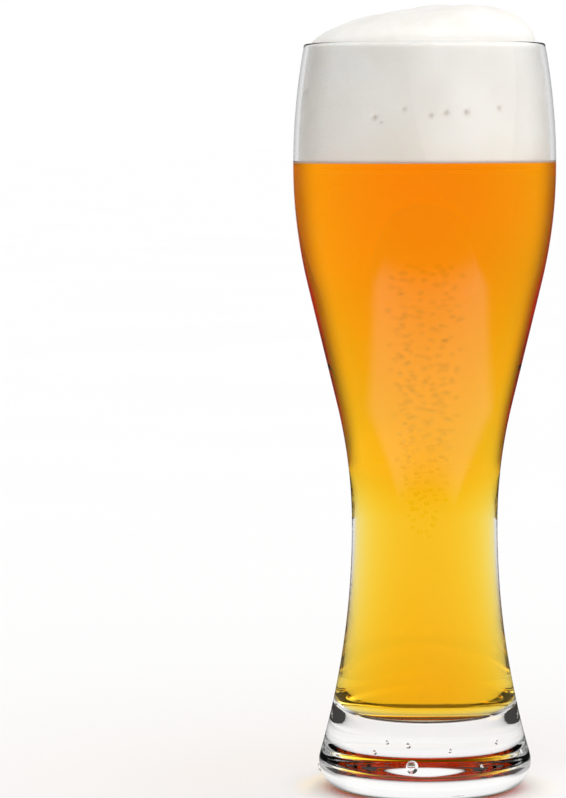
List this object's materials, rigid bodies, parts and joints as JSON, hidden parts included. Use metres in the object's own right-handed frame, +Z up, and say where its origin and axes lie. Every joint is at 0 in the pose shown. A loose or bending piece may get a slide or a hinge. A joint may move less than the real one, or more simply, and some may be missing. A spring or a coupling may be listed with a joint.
{
  "type": "weizen glass",
  "caption": "Tall weizen glass with a thick flared foot, narrow waist and wide belly, filled with amber beer under an off-white head of foam that rises above the rim.",
  "frame": {"origin": "centre of the standing ring under the foot, on the table plane", "axes": "+Z up along the axis that the glass is turned about, +X towards the steep side of the foam's crown"},
  "size_m": [0.0866, 0.0866, 0.2591],
  "materials": {
    "glass": "clear polished soda-lime glass",
    "beer": "clear amber liquid with fine rising bubbles",
    "foam": "fine off-white froth"
  },
  "bodies": {
    "root": {"glass": "glass", "beer": "beer", "foam_head": "foam"}
  },
  "joints": []
}
